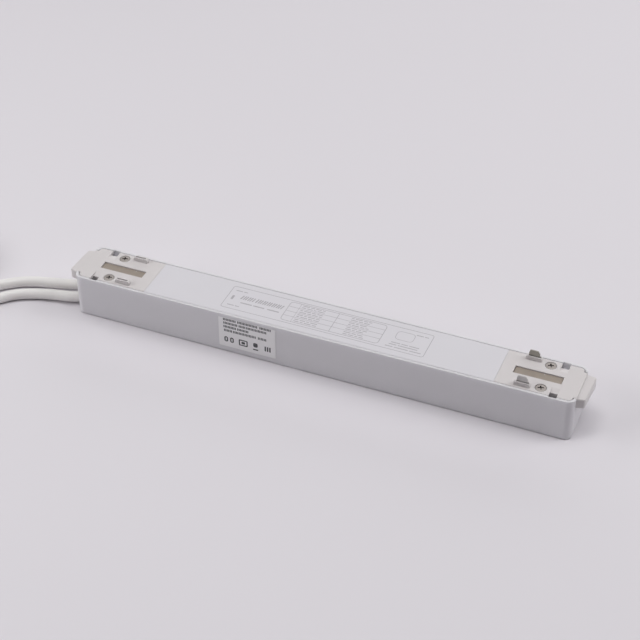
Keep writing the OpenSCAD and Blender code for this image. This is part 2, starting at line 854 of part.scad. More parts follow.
// Two straps round both coils, each with its lock on top
module cable_ties() {
    section_w = 2 * cable_d + 2 * tie_gap;
    section_h = 2 * cable_d + 2 * tie_gap;
    middle = [(coil_outer_r + coil_inner_r) / 2, (output_coil_z + mains_coil_z) / 2];
    strap_r = cable_d / 2;
    color([0.93, 0.93, 0.92]) translate([coil_place[0], coil_place[1], 0])
        for (a = [95, 250]) rotate(a) translate([middle[0], 0, middle[1]]) {
            rotate([90, 0, 0]) linear_extrude(tie_w, center = true) difference() {
                rounded_rect(section_w + 2 * tie_t, section_h + 2 * tie_t, strap_r + tie_t);
                rounded_rect(section_w, section_h, strap_r);
            }
            translate([0, 0, section_h / 2 + 0.2]) block(5, tie_w + 1.2, tie_t + 3);
        }
}

// Circuit board and what stands on it

module insulating_liner() {
    liner_t = 0.3;
    liner_w = inner_w - 0.4;
    liner_l = board_l + 2;
    color([0.93, 0.93, 0.9]) difference() {
        translate([0, 0, floor_t]) difference() {
            block(liner_l, liner_w, 3.4);
            translate([0, 0, liner_t]) block(liner_l + 2, liner_w - 2 * liner_t, 4);
        }
        standoff_places() cylinder(d = standoff_d + 0.6, h = board_z);
        middle_standoff_places() cylinder(d = standoff_d + 0.6, h = board_z);
    }
}

module circuit_board() {
    color(board_green) translate([0, 0, board_z]) difference() {
        linear_extrude(board_t) rounded_rect(board_l, board_w, 1);
        standoff_places() translate([0, 0, -1]) cylinder(d = board_screw_d + 0.3, h = board_t + 2);
    }
}

module board_screws() {
    color(metal_grey) standoff_places()
        translate([0, 0, board_top]) pan_screw(4.4, 1.5, board_screw_d, board_t + 3.4);
}

module terminal(n) {
    w = n * terminal_pitch + 0.4;
    difference() {
        translate([0, 0, board_top]) rotate([90, 0, 0]) linear_extrude(w, center = true)
            polygon([
                [-terminal_l / 2, 0], [-terminal_l / 2, terminal_h - 2.5],
                [-terminal_l / 2 + 2, terminal_h], [terminal_l / 2 - 2, terminal_h],
                [terminal_l / 2, terminal_h - 2.5], [terminal_l / 2, 0]
            ]);
        for (i = [0:n - 1]) {
            y = (i - (n - 1) / 2) * terminal_pitch;
            translate([-terminal_l / 2 - 1, y, terminal_wire_z]) rod_x(wire_d + 0.5, 8);
            translate([0, y, board_top + terminal_h - 3]) cylinder(d = 3, h = 4);
        }
    }
}

module mains_terminal() {
    color("seagreen") translate([-terminal_x, mains_terminal_y, 0]) terminal(3);
}

module output_terminal() {
    color("seagreen") translate([-terminal_x, output_terminal_y, 0]) terminal(2);
}

module fuse() {
    color("sienna") translate([-terminal_x + 12, board_w / 2 - 5.4, board_top]) {
        cylinder(d = 8.4, h = 7.6);
        cylinder(d = 7.4, h = 8);
    }
}

module varistor() {
    disc_d = 10;
    color("royalblue") translate([-terminal_x + 12, -board_w / 2 + 7, board_top]) {
        translate([-2, 0, disc_d / 2 + 2]) rod_x(disc_d, 4);
        for (s = [-1, 1])
            translate([0, s * 2.5, 0]) cylinder(d = 0.8, h = 3.4);
    }
}

// A ring core wound in two halves
choke_x = -terminal_x + 28;
choke_h = 7;
choke_lift = 1.3;
choke_hole_d = choke_d / 2;

module choke_core() {
    color(ferrite) translate([choke_x, 0, board_top + choke_lift]) difference() {
        cylinder(d = choke_d, h = choke_h);
        translate([0, 0, -1]) cylinder(d = choke_hole_d, h = choke_h + 2);
    }
}

module choke_windings() {
    coil_wire = 0.9;
    turns = 7;
    section_w = (choke_d - choke_hole_d) / 2;
    color(copper) translate([choke_x, 0, board_top + choke_lift + choke_h / 2])
        for (side = [0, 180], i = [0:turns - 1])
            rotate(side + (i - (turns - 1) / 2) * 19)
                translate([(choke_d + choke_hole_d) / 4, 0, 0]) rotate([90, 0, 0])
                    linear_extrude(coil_wire, center = true) difference() {
                        rounded_rect(section_w + 2.2, choke_h + 2.4, 1);
                        rounded_rect(section_w + 0.4, choke_h + 0.4, 0.4);
                    }
}

module film_capacitor() {
    color(tape_yellow) translate([choke_x + 17, -2, board_top]) {
        translate([0, 0, 0.6]) linear_extrude(13) rounded_rect(9, 18, 0.8);
        for (s = [-1, 1])
            translate([0, s * 7.5, 0]) cylinder(d = 0.8, h = 1);
    }
}

module bridge_rectifier() {
    color([0.15, 0.15, 0.16]) translate([choke_x + 25.5, -3, board_top]) {
        translate([0, 0, 3]) difference() {
            block(3.6, 18, 12);
            translate([-3, 0, 9]) rod_x(3.2, 6);
        }
        for (i = [-1.5:1.5])
            translate([0, i * 4.6, 0]) block(0.7, 1.1, 3.2);
    }
}

// Wound cores: a ferrite frame in two halves, a bobbin on its middle leg and a winding

module core_frame(l, w, t) {
    leg = w / 3.6;
    window_l = l - leg;
    window_w = (w - 2 * leg) / 2;
    translate([0, 0, board_top + core_lift]) linear_extrude(t) difference() {
        square([l, w], center = true);
        for (s = [-1, 1])
            translate([0, s * (leg / 2 + window_w / 2)]) square([window_l, window_w], center = true);
        square([0.1, w + 2], center = true);
    }
}

module core_bobbin(l, w, t) {
    leg = w / 3.6;
    window_l = l - leg;
    reach_w = w - leg - 0.4;
    flange_t = 1;
    sleeve = 0.8;
    middle_z = board_top + core_lift + t / 2;
    difference() {
        union() {
            translate([0, 0, middle_z]) along_x(window_l - 0.2)
                square([leg + 2 * sleeve, t + 2 * sleeve], center = true);
            for (s = [-1, 1])
                translate([s * (window_l / 2 - 0.1 - flange_t / 2), 0, board_top])
                    block(flange_t, reach_w, 2 * core_lift + t - 0.6);
        }
        translate([0, 0, middle_z]) along_x(window_l + 1) square([leg + 0.2, t + 0.2], center = true);
    }
}

module core_winding(l, w, t, build) {
    leg = w / 3.6;
    window_l = l - leg;
    sleeve_w = leg + 1.6;
    sleeve_h = t + 1.6;
    translate([0, 0, board_top + core_lift + t / 2]) along_x(window_l - 2.6) difference() {
        rounded_rect(sleeve_w + 2 * build, sleeve_h + 2 * build, build * 0.8);
        square([sleeve_w + 0.2, sleeve_h + 0.2], center = true);
    }
}

module boost_core() {
    color(ferrite) translate([boost_x, core_y, 0]) core_frame(boost_l, transformer_w, 6);
}

module boost_bobbin() {
    color([0.2, 0.2, 0.2]) translate([boost_x, core_y, 0]) core_bobbin(boost_l, transformer_w, 6);
}

module boost_winding() {
    color(copper) translate([boost_x, core_y, 0]) core_winding(boost_l, transformer_w, 6, 1.9);
}

module transformer_core() {
    color(ferrite) translate([transformer_x, core_y, 0])
        core_frame(transformer_l, transformer_w, 7);
}

module transformer_bobbin() {
    color([0.2, 0.2, 0.2]) translate([transformer_x, core_y, 0])
        core_bobbin(transformer_l, transformer_w, 7);
}

module transformer_winding() {
    color(tape_yellow) translate([transformer_x, core_y, 0])
        core_winding(transformer_l, transformer_w, 7, 1.9);
}

// A can lying on the board, with a crimped neck at one end
module storage_capacitor() {
    r = storage_d / 2;
    color([0.25, 0.25, 0.32])
        translate([storage_x - storage_l / 2, core_y, board_top + r]) rotate([0, 90, 0])
            rotate_extrude($fn = 64) polygon([
                [0, 0], [r - 0.6, 0], [r, 0.6], [r, 2], [r - 0.6, 2.6], [r - 0.6, 3.2], [r, 3.8],
                [r, storage_l - 0.6], [r - 0.6, storage_l], [0, storage_l]
            ]);
}

module heat_spreader() {
    color([0.75, 0.76, 0.78])
        translate([spreader_x, 0, board_top]) along_x(spreader_l)
            polygon([
                [spreader_y - spreader_t, 0], [spreader_y + spreader_t / 2, 0],
                [spreader_y + spreader_t / 2, 2], [spreader_y, 2],
                [spreader_y, spreader_h], [spreader_y - spreader_t, spreader_h]
            ]);
}

module thermal_pad() {
    pad_back = inner_w / 2;
    color([0.6, 0.65, 0.7])
        translate([spreader_x, (spreader_y + pad_back) / 2, board_top + 3])
            block(spreader_l - 4, pad_back - spreader_y, spreader_h - 4);
}

module power_switch() {
    body_t = 3;
    tab_t = 1.2;
    translate([0, -tab_t / 2, 3]) block(10, tab_t, 15 - 5);
    translate([0, -tab_t - body_t / 2 + 0.1, 3]) block(10, body_t, 7.5);
    for (i = [-1:1])
        translate([i * 2.5, -tab_t - body_t / 2, 0]) block(0.8, 0.6, 3.5);
}

module power_switches() {
    color([0.15, 0.15, 0.16]) for (i = [-1.5:1.5])
        translate([spreader_x + i * switch_pitch, spreader_y - spreader_t, board_top])
            power_switch();
}

module output_capacitors() {
    can_d = 9.6;
    can_h = 15;
    r = can_d / 2;
    color([0.2, 0.25, 0.35]) for (x = [0, 1], y = [-1, 1])
        translate([board_l / 2 - 48 + x * (can_d + 1), y * (can_d / 2 + 0.6), board_top])
            rotate_extrude() polygon([
                [0, 0], [r - 0.5, 0], [r, 0.5], [r, 1.6], [r - 0.4, 2.1], [r, 2.6],
                [r, can_h - 0.5], [r - 0.5, can_h], [0, can_h]
            ]);
}

inductor_x = board_l / 2 - 24;
inductor_d = 13;

// A drum core standing on the board, with its winding in the groove
module output_inductor() {
    r = inductor_d / 2;
    color(ferrite) translate([inductor_x, 0, board_top]) rotate_extrude() polygon([
        [0, 0], [r, 0], [r, 2.2], [r / 2, 2.2], [r / 2, 9.8], [r, 9.8], [r, 12], [0, 12]
    ]);
}

module inductor_winding() {
    color(copper) translate([inductor_x, 0, board_top + 2.3]) difference() {
        cylinder(d = inductor_d - 1.4, h = 7.4);
        translate([0, 0, -1]) cylinder(d = inductor_d / 2 + 0.2, h = 10);
    }
}

// A small upright board with the control parts on it
module control_board() {
    color(board_green) translate([inductor_x - 12, -board_w / 2 + 1.5, board_top]) {
        block(34, 1, 12);
        for (i = [0:3])
            translate([-12 + i * 8, 1, 4]) block(5, 1.4, 4);
    }
}

housing();
top_cover();
left_end_plate();
right_end_plate();
left_magnet();
right_magnet();
plate_screws();
front_contact();
rear_contact();
contact_leads();
side_label();
cable_clamp();
clamp_screws();
mains_cable_inner();
output_cable_inner();
mains_wires();
output_wires();
mains_cable();
output_cable();
mains_coil();
output_coil();
mains_end_wires();
output_end_wires();
cable_ties();
insulating_liner();
circuit_board();
board_screws();
mains_terminal();
output_terminal();
fuse();
varistor();
choke_core();
choke_windings();
film_capacitor();
bridge_rectifier();
boost_core();
boost_bobbin();
boost_winding();
storage_capacitor();
heat_spreader();
thermal_pad();
power_switches();
transformer_core();
transformer_bobbin();
transformer_winding();
output_capacitors();
output_inductor();
inductor_winding();
control_board();
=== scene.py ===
import bpy
import math
from mathutils import Matrix, Vector


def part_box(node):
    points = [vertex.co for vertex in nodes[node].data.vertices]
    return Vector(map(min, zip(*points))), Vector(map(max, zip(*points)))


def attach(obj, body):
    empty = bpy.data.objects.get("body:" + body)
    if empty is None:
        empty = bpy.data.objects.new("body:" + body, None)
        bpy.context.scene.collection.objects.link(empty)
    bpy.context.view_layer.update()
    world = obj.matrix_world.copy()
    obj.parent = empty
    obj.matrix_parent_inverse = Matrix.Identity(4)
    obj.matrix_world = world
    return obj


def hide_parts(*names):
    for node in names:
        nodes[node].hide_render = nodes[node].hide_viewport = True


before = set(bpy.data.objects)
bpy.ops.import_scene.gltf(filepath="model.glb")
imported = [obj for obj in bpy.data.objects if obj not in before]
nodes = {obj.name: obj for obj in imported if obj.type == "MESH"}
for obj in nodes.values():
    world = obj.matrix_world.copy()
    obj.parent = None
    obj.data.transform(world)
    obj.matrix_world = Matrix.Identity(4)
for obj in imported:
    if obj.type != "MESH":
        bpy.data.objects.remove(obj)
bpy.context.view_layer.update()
mm = 0.001

# Camera, at the photograph's place. Angles are in degrees.

cameraSpec = {
    "place": (0.28389, -0.69059, 0.61608),
    "turnLeft": 22.45,
    "lookDown": 38.22,
    "roll": -0.13,
    "sensorWidth": 36,
    "lens": 90.67,
    "nearest": 0.01,
    "farthest": 20,
}


def addCamera(spec):
    bpy.ops.object.camera_add(location=spec["place"])
    camera = bpy.context.object
    camera.name = "photoCamera"
    turn = Matrix.Rotation(math.radians(spec["turnLeft"]), 3, "Z")
    tilt = Matrix.Rotation(math.radians(90 - spec["lookDown"]), 3, "X")
    roll = Matrix.Rotation(math.radians(spec["roll"]), 3, "Z")
    camera.rotation_euler = (turn @ tilt @ roll).to_euler()
    camera.data.sensor_width = spec["sensorWidth"]
    camera.data.lens = spec["lens"]
    camera.data.clip_start = spec["nearest"]
    camera.data.clip_end = spec["farthest"]
    bpy.context.scene.camera = camera


addCamera(cameraSpec)
print("camera ready")

# Node materials. Each finish reads Object coordinates, so it stays put on its piece.

# Painted shade: ambient occlusion darkens a metal's colour in its crevices and recesses, fading
# out between these openness values.
occlusionShadeSpec = {"samples": 8, "openFrom": 0.3, "openTo": 0.8}
edgeSamples = 6


def newMaterial(name):
    material = bpy.data.materials.new(name)
    material.use_nodes = True
    tree = material.node_tree
    shader = tree.nodes["Principled BSDF"]
    return material, tree, shader


def objectCoordinates(tree, stretch=(1, 1, 1)):
    coord = tree.nodes.new("ShaderNodeTexCoord")
    mapping = tree.nodes.new("ShaderNodeMapping")
    mapping.inputs["Scale"].default_value = stretch
    tree.links.new(coord.outputs["Object"], mapping.inputs["Vector"])
    return mapping.outputs["Vector"]


def noise(tree, vector, scale, detail=3.0):
    node = tree.nodes.new("ShaderNodeTexNoise")
    node.inputs["Scale"].default_value = scale
    node.inputs["Detail"].default_value = detail
    tree.links.new(vector, node.inputs["Vector"])
    return node.outputs["Fac"]


def spread(tree, value, low, high, fromLow=0.3, fromHigh=0.7):
    node = tree.nodes.new("ShaderNodeMapRange")
    node.inputs["From Min"].default_value = fromLow
    node.inputs["From Max"].default_value = fromHigh
    node.inputs["To Min"].default_value = low
    node.inputs["To Max"].default_value = high
    tree.links.new(value, node.inputs["Value"])
    return node.outputs["Result"]


def feed(tree, socket, value):
    if isinstance(value, bpy.types.NodeSocket):
        tree.links.new(value, socket)
    elif socket.type == "RGBA":
        socket.default_value = (*value, 1)
    else:
        socket.default_value = value


def blendColors(tree, factor, first, second):
    node = tree.nodes.new("ShaderNodeMix")
    node.data_type = "RGBA"
    feed(tree, node.inputs["Factor"], factor)
    feed(tree, node.inputs["A"], first)
    feed(tree, node.inputs["B"], second)
    return node.outputs["Result"]


def mottle(tree, factor, color, tones):
    first, second = (tuple(min(1.0, part * tone) for part in color) for tone in tones)
    return blendColors(tree, factor, first, second)


def calculate(tree, operation, first, second):
    node = tree.nodes.new("ShaderNodeMath")
    node.operation = operation
    feed(tree, node.inputs[0], first)
    feed(tree, node.inputs[1], second)
    return node.outputs["Value"]


def addBump(tree, shader, height, distance, edges=None):
    node = tree.nodes.new("ShaderNodeBump")
    node.inputs["Distance"].default_value = distance
    if edges:
        tree.links.new(edges, node.inputs["Normal"])
    tree.links.new(height, node.inputs["Height"])
    tree.links.new(node.outputs["Normal"], shader.inputs["Normal"])


# Painted shade: the colour turns to the dark one where ambient occlusion within the reach finds
# surfaces close by, as in crevices and recesses.
def paintCreviceShade(tree, color, dark, reach):
    hollow = tree.nodes.new("ShaderNodeAmbientOcclusion")
    hollow.samples = occlusionShadeSpec["samples"]
    hollow.inputs["Distance"].default_value = reach
    openness = spread(tree, hollow.outputs["AO"], 0, 1, occlusionShadeSpec["openFrom"],
                      occlusionShadeSpec["openTo"])
    return blendColors(tree, openness, dark, color)


def softEdges(tree, radius):
    node = tree.nodes.new("ShaderNodeBevel")
    node.samples = edgeSamples
    node.inputs["Radius"].default_value = radius
    return node.outputs["Normal"]


# Moulded or dipped plastic: faint clouds in the colour, fine grain and an uneven gloss.
# A soft finish has its edges rounded by that radius, and light passes a little way into
# one that glows.

plasticLook = {
    "clouds": {"scale": 28, "detail": 4},
    "cloudTones": (0.965, 1.02),
    "glossPatches": {"scale": 160, "detail": 5},
    "grainDetail": 2,
    "specular": 0.42,
}
plasticSpecs = {
    "housingWhite": {"color": (0.715, 0.70, 0.73), "rough": (0.38, 0.48), "grain": 2600,
                     "depth": 4e-6, "soft": 0.35 * mm, "glow": 0.85, "glowReach": 2.5 * mm},
    "coverWhite": {"color": (0.695, 0.676, 0.715), "rough": (0.42, 0.52), "grain": 3000,
                   "depth": 3e-6, "soft": 0.12 * mm},
    "plateWhite": {"color": (0.688, 0.655, 0.658), "rough": (0.34, 0.46), "grain": 2200,
                   "depth": 4e-6, "soft": 0.2 * mm, "glow": 0.85, "glowReach": 0.6 * mm},
    "labelWhite": {"color": (0.87, 0.855, 0.87), "rough": (0.45, 0.55), "grain": 5000,
                   "depth": 2e-6},
    "clampWhite": {"color": (0.70, 0.70, 0.68), "rough": (0.4, 0.5), "grain": 2400,
                   "depth": 5e-6},
    "cableSheath": {"color": (0.82, 0.80, 0.79), "rough": (0.30, 0.42), "grain": 1500,
                    "depth": 6e-6, "glow": 0.85, "glowReach": 2.5 * mm},
    "tieNylon": {"color": (0.80, 0.80, 0.77), "rough": (0.32, 0.45), "grain": 2000,
                 "depth": 6e-6},
    "wireBrown": {"color": (0.22, 0.10, 0.05), "rough": (0.25, 0.35), "grain": 2500,
                  "depth": 4e-6},
    "wireRed": {"color": (0.55, 0.05, 0.04), "rough": (0.25, 0.35), "grain": 2500,
                "depth": 4e-6},
    "linerFilm": {"color": (0.82, 0.82, 0.76), "rough": (0.2, 0.3), "grain": 900,
                  "depth": 8e-6},
    "boardGreen": {"color": (0.03, 0.20, 0.08), "rough": (0.22, 0.34), "grain": 1800,
                   "depth": 6e-6},
    "terminalGreen": {"color": (0.04, 0.32, 0.14), "rough": (0.4, 0.5), "grain": 2400,
                      "depth": 5e-6},
    "fuseBrown": {"color": (0.20, 0.09, 0.04), "rough": (0.35, 0.5), "grain": 2400,
                  "depth": 5e-6},
    "varistorBlue": {"color": (0.05, 0.15, 0.45), "rough": (0.2, 0.3), "grain": 1200,
                     "depth": 1e-5},
    "ferriteGrey": {"color": (0.06, 0.06, 0.065), "rough": (0.6, 0.75), "grain": 3500,
                    "depth": 1e-5},
    "filmYellow": {"color": (0.72, 0.52, 0.06), "rough": (0.25, 0.35), "grain": 1500,
                   "depth": 5e-6},
    "mouldedBlack": {"color": (0.03, 0.03, 0.03), "rough": (0.4, 0.55), "grain": 2500,
                     "depth": 5e-6},
    "sleeveBlue": {"color": (0.04, 0.05, 0.12), "rough": (0.2, 0.3), "grain": 1500,
                   "depth": 4e-6},
    "padGrey": {"color": (0.30, 0.34, 0.40), "rough": (0.7, 0.85), "grain": 1800,
                "depth": 1e-5},
}


def plastic(name, spec):
    material, tree, shader = newMaterial(name)
    vector = objectCoordinates(tree)
    clouds = noise(tree, vector, **plasticLook["clouds"])
    color = mottle(tree, clouds, spec["color"], plasticLook["cloudTones"])
    tree.links.new(color, shader.inputs["Base Color"])
    gloss = spread(tree, noise(tree, vector, **plasticLook["glossPatches"]), *spec["rough"])
    tree.links.new(gloss, shader.inputs["Roughness"])
    edges = softEdges(tree, spec["soft"]) if "soft" in spec else None
    grain = noise(tree, vector, spec["grain"], plasticLook["grainDetail"])
    addBump(tree, shader, grain, spec["depth"], edges)
    shader.inputs["Specular IOR Level"].default_value = plasticLook["specular"]
    if "glow" in spec:
        shader.inputs["Subsurface Weight"].default_value = spec["glow"]
        shader.inputs["Subsurface Radius"].default_value = (1, 1, 1)
        shader.inputs["Subsurface Scale"].default_value = spec["glowReach"]
    return material


# Metals: fine lines along one axis, patches of duller plating, and painted shade that darkens
# the colour in their hollows

metalLook = {
    "lineNoise": {"scale": 1, "detail": 2},
    "lineDepth": 3e-6,
    "patches": {"scale": 300, "detail": 3},
    "patchTones": (0.88, 1.06),
}
# The screws and the contacts carry the colour of painted shade for their crevices, and how far
# it reaches.
metalSpecs = {
    "screwSteel": {"color": (0.515, 0.468, 0.445), "rough": (0.45, 0.6),
                   "lines": (900, 2500, 900), "metallic": 0.7,
                   "creviceShadeColor": (0.03, 0.025, 0.025), "reach": 1.3 * mm},
    "contactMetal": {"color": (0.58, 0.56, 0.55), "rough": (0.45, 0.6),
                     "lines": (400, 2500, 3000), "metallic": 0.5,
                     "creviceShadeColor": (0.04, 0.035, 0.03), "reach": 1.0 * mm},
    # A darker copy of contactMetal for the rear contact: painted shade that stands for the
    # dimmer reflection it shows.
    "contactShadedCopy": {"color": (0.42, 0.40, 0.36), "rough": (0.45, 0.6),
                    "lines": (400, 2500, 3000), "metallic": 0.5,
                    "creviceShadeColor": (0.04, 0.035, 0.03), "reach": 1.0 * mm},
    "magnetCoat": {"color": (0.385, 0.328, 0.282), "rough": (0.42, 0.56),
                   "lines": (220, 2600, 2600), "metallic": 0.25},
    "spreaderAluminium": {"color": (0.62, 0.63, 0.65), "rough": (0.28, 0.42),
                          "lines": (150, 2500, 3000), "metallic": 1},
    "copperWire": {"color": (0.62, 0.28, 0.12), "rough": (0.22, 0.34),
                   "lines": (1200, 1200, 1200), "metallic": 1},
}


def metal(name, spec):
    material, tree, shader = newMaterial(name)
    lines = noise(tree, objectCoordinates(tree, spec["lines"]), **metalLook["lineNoise"])
    patches = noise(tree, objectCoordinates(tree), **metalLook["patches"])
    color = mottle(tree, patches, spec["color"], metalLook["patchTones"])
    # painted shade: darken the colour in crevices
    if "creviceShadeColor" in spec:
        color = paintCreviceShade(tree, color, spec["creviceShadeColor"], spec["reach"])
    tree.links.new(color, shader.inputs["Base Color"])
    tree.links.new(spread(tree, lines, *spec["rough"]), shader.inputs["Roughness"])
    addBump(tree, shader, lines, metalLook["lineDepth"])
    shader.inputs["Metallic"].default_value = spec["metallic"]
    return material


# Ink: thin where it has worn, and paler there

inkLook = {
    "wear": {"scale": 900, "detail": 4},
    "wornFrom": 0.4,
    "wornTo": 0.75,
    "rough": 0.6,
    "specular": 0.3,
}
inkSpecs = {
    "coverInk": {"color": (0.42, 0.40, 0.43), "fade": 1.16},
    "labelInk": {"color": (0.08, 0.08, 0.085), "fade": 1.9},
}


def ink(name, spec):
    material, tree, shader = newMaterial(name)
    wear = noise(tree, objectCoordinates(tree), **inkLook["wear"])
    worn = spread(tree, wear, 0, 1, inkLook["wornFrom"], inkLook["wornTo"])
    color = mottle(tree, worn, spec["color"], (1, spec["fade"]))
    tree.links.new(color, shader.inputs["Base Color"])
    shader.inputs["Roughness"].default_value = inkLook["rough"]
    shader.inputs["Specular IOR Level"].default_value = inkLook["specular"]
    return material


# Stripped ends: each wire of a cable has its own colour, and its last piece is bare copper.
# The wires lie round the coil's middle, so the radius and the height tell them apart, and
# an end is bare below its angle, in degrees.

wireLook = {
    "middle": (-274.5 * mm, -17.5 * mm),
    "turnRadius": 28.38 * mm,
    "wireRadius": 1.14 * mm,
    "upperWire": 1.3 * mm,
    "stripeFrom": 1.55 * mm,
    "copper": (0.66, 0.33, 0.16),
    "rough": (0.26, 0.4),
    "glossPatches": {"scale": 900},
    "grain": {"scale": 2500, "detail": 2},
    "depth": 4e-6,
}
wireEndSpecs = {
    "mainsEnds": {"height": 10.7 * mm, "bareBelow": 20, "inner": (0.20, 0.085, 0.045),
                  "outer": (0.10, 0.34, 0.09), "stripe": (0.62, 0.50, 0.05),
                  "upper": (0.05, 0.17, 0.50)},
    "outputEnds": {"height": 4.1 * mm, "bareBelow": 0, "inner": (0.03, 0.03, 0.035),
                   "outer": (0.52, 0.05, 0.04)},
}


def sumOfSquares(tree, first, second):
    return calculate(tree, "ADD", calculate(tree, "MULTIPLY", first, first),
                     calculate(tree, "MULTIPLY", second, second))


def wireEnds(name, spec, look):
    material, tree, shader = newMaterial(name)
    vector = objectCoordinates(tree)
    parted = tree.nodes.new("ShaderNodeSeparateXYZ")
    tree.links.new(vector, parted.inputs["Vector"])
    x = calculate(tree, "SUBTRACT", parted.outputs["X"], look["middle"][0])
    y = calculate(tree, "SUBTRACT", parted.outputs["Y"], look["middle"][1])
    z = calculate(tree, "SUBTRACT", parted.outputs["Z"], spec["height"])
    radius = calculate(tree, "POWER", sumOfSquares(tree, x, y), 0.5)
    across = calculate(tree, "SUBTRACT", radius, look["turnRadius"])
    beyond = calculate(tree, "GREATER_THAN", across, 0)
    color = blendColors(tree, beyond, spec["inner"], spec["outer"])
    if "stripe" in spec:
        striped = calculate(tree, "GREATER_THAN", across, look["stripeFrom"])
        color = blendColors(tree, striped, color, spec["stripe"])
    if "upper" in spec:
        above = calculate(tree, "SUBTRACT", z, look["upperWire"])
        reach = sumOfSquares(tree, across, above)
        within = calculate(tree, "LESS_THAN", reach, look["wireRadius"] ** 2)
        color = blendColors(tree, within, color, spec["upper"])
    angle = calculate(tree, "ARCTAN2", y, x)
    bare = calculate(tree, "LESS_THAN", angle, math.radians(spec["bareBelow"]))
    color = blendColors(tree, bare, color, look["copper"])
    tree.links.new(color, shader.inputs["Base Color"])
    tree.links.new(bare, shader.inputs["Metallic"])
    gloss = spread(tree, noise(tree, vector, **look["glossPatches"]), *look["rough"])
    tree.links.new(gloss, shader.inputs["Roughness"])
    addBump(tree, shader, noise(tree, vector, **look["grain"]), look["depth"])
    return material


finishes = {name: plastic(name, spec) for name, spec in plasticSpecs.items()}
finishes.update({name: metal(name, spec) for name, spec in metalSpecs.items()})
finishes.update({name: ink(name, spec) for name, spec in inkSpecs.items()})
finishes.update({name: wireEnds(name, spec, wireLook) for name, spec in wireEndSpecs.items()})
print("materials ready:", len(finishes))

# The finish of each CAD piece that shows as it is. The cords stand for the other four.

pieceFinish = {
    "housing": "housingWhite",
    "top_cover": "coverWhite",
    "left_end_plate": "plateWhite",
    "right_end_plate": "plateWhite",
    "left_magnet": "magnetCoat",
    "right_magnet": "magnetCoat",
    "plate_screws": "screwSteel",
    "front_contact": "contactMetal",
    # the rear contact takes the darker copy of the contact finish: painted shade
    "rear_contact": "contactShadedCopy",
    "contact_leads": "wireRed",
    "side_label": "labelWhite",
    "cable_clamp": "clampWhite",
    "clamp_screws": "screwSteel",
    "mains_cable_inner": "cableSheath",
    "output_cable_inner": "cableSheath",
    "mains_wires": "wireBrown",
    "output_wires": "wireRed",
    "mains_end_wires": "mainsEnds",
    "output_end_wires": "outputEnds",
    "cable_ties": "tieNylon",
    "insulating_liner": "linerFilm",
    "circuit_board": "boardGreen",
    "board_screws": "screwSteel",
    "mains_terminal": "terminalGreen",
    "output_terminal": "terminalGreen",
    "fuse": "fuseBrown",
    "varistor": "varistorBlue",
    "choke_core": "ferriteGrey",
    "choke_windings": "copperWire",
    "film_capacitor": "filmYellow",
    "bridge_rectifier": "mouldedBlack",
    "boost_core": "ferriteGrey",
    "boost_bobbin": "mouldedBlack",
    "boost_winding": "copperWire",
    "storage_capacitor": "sleeveBlue",
    "heat_spreader": "spreaderAluminium",
    "thermal_pad": "padGrey",
    "power_switches": "mouldedBlack",
    "transformer_core": "ferriteGrey",
    "transformer_bobbin": "mouldedBlack",
    "transformer_winding": "filmYellow",
    "output_capacitors": "sleeveBlue",
    "output_inductor": "ferriteGrey",
    "inductor_winding": "copperWire",
    "control_board": "boardGreen",
}


def setFinish(piece, finish):
    piece.data.materials.clear()
    piece.data.materials.append(finishes[finish])


for name, finish in pieceFinish.items():
    setFinish(nodes[name], finish)
print("CAD pieces finished:", len(pieceFinish))

# Cables: straight out of the housing, down to the table and round into their coils.
# A coil runs on the outer turn, then steps over to the inner one. Angles are in degrees.

cableSpec = {"diameter": 0.0066, "slot": "cable_jacket", "stepsAlong": 6, "stepsRound": 6}
coilSpec = {
    "middle": (-0.2745, -0.0175),
    "outer": 0.03498,
    "inner": 0.02838,
    "pointsPerTurn": 18,
    "turned": 618,  # the stripped wires take the next 34
    "stepStart": 286,
    "stepLength": 76,
}

mainsSpec = {
    "route": [
        (-0.1575, 0.005, 0.0051), (-0.1595, 0.005, 0.0051), (-0.1625, 0.0044, 0.005),
        (-0.167, 0.0029, 0.0048), (-0.173, 0.0014, 0.0045), (-0.1795, 0, 0.0041),
        (-0.187, -0.0015, 0.0037), (-0.1955, -0.0035, 0.0034), (-0.203, -0.0068, 0.0034),
        (-0.2082, -0.0103, 0.0034), (-0.2132, -0.0142, 0.0034), (-0.2196, -0.0192, 0.0037),
        (-0.226, -0.0244, 0.0046), (-0.2324, -0.0296, 0.0064), (-0.2386, -0.0346, 0.0089),
        (-0.2448, -0.0393, 0.0105), (-0.2509, -0.0437, 0.0107),
    ],
    "coilStart": -60,
    "coilHeight": 0.0107,
    "stands": ("mains_cable", "mains_coil"),
    "end": ["mains_end_wires"],
}
outputSpec = {
    "route": [
        (-0.1575, -0.0078, 0.0051), (-0.1595, -0.0078, 0.0051), (-0.1625, -0.0089, 0.005),
        (-0.167, -0.0102, 0.0047), (-0.1732, -0.011, 0.0043), (-0.1808, -0.0124, 0.0039),
        (-0.189, -0.0147, 0.0035), (-0.1964, -0.0179, 0.0034), (-0.2016, -0.0213, 0.0034),
        (-0.2061, -0.0258, 0.0034), (-0.212, -0.0312, 0.0034), (-0.2184, -0.036, 0.0034),
        (-0.2252, -0.0402, 0.0035), (-0.2321, -0.0431, 0.0036), (-0.2393, -0.0454, 0.0038),
        (-0.2467, -0.0474, 0.0039), (-0.2542, -0.04915, 0.004), (-0.2616, -0.0507, 0.0041),
    ],
    "coilStart": -80,
    "coilHeight": 0.0041,
    "stands": ("output_cable", "output_coil"),
    "end": ["output_end_wires", "cable_ties"],
}


